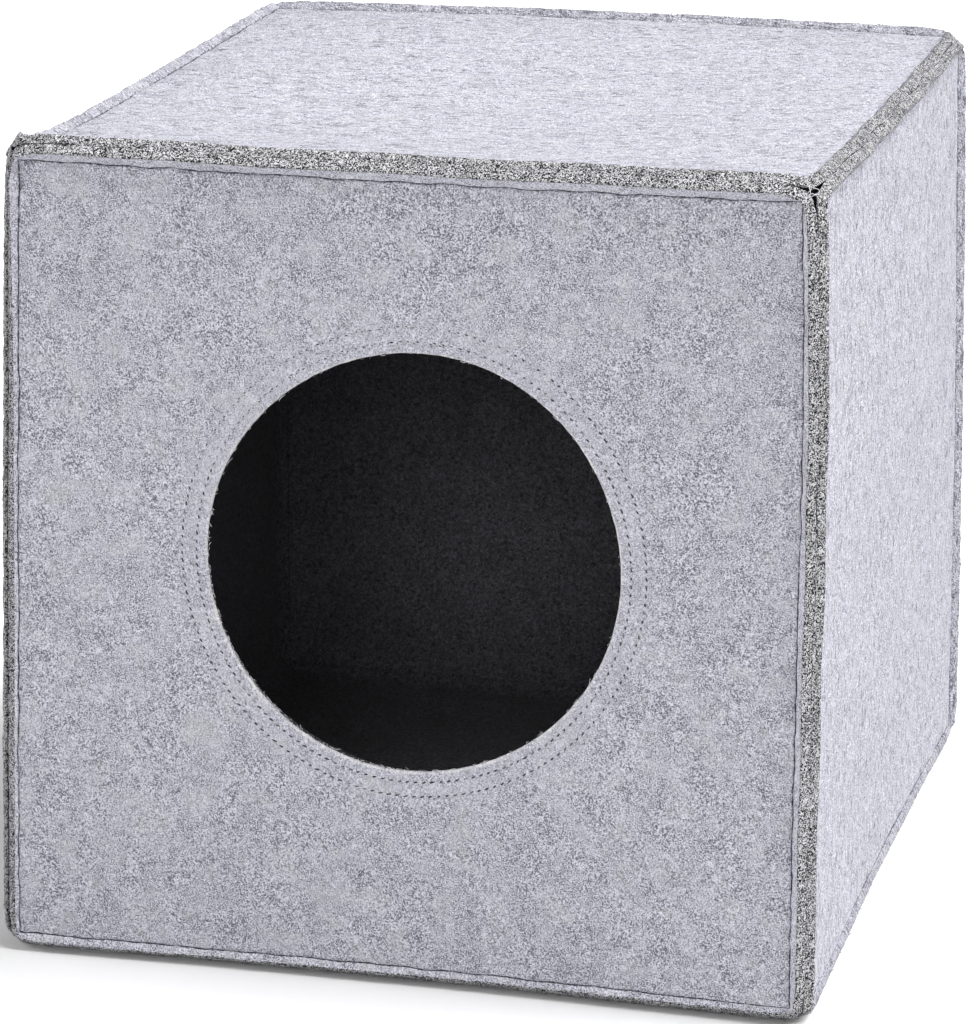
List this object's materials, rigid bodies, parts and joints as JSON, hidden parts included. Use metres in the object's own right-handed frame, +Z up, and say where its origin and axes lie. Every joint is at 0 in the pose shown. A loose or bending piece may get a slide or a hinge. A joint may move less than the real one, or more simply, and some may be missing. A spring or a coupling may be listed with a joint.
{
  "type": "felt cat cave",
  "caption": "Soft cube of thick grey felt with a round doorway, outward-turned sewn edges and a black lining, for a cat to rest in.",
  "frame": {"origin": "on the floor, under the middle of the cave", "axes": "+Z up, -Y out of the doorway, +X to the right as seen from in front"},
  "size_m": [0.334, 0.3767, 0.3325],
  "materials": {
    "grey_felt": "matte melange needle felt",
    "black_lining": "matte black needle felt"
  },
  "bodies": {
    "root": {"felt_front": "grey_felt", "felt_back": "grey_felt", "felt_left": "grey_felt", "felt_right": "grey_felt", "felt_top": "grey_felt", "felt_bottom": "grey_felt", "lining_front": "black_lining", "lining_back": "black_lining", "lining_left": "black_lining", "lining_right": "black_lining", "lining_top": "black_lining", "lining_bottom": "black_lining"}
  },
  "joints": []
}
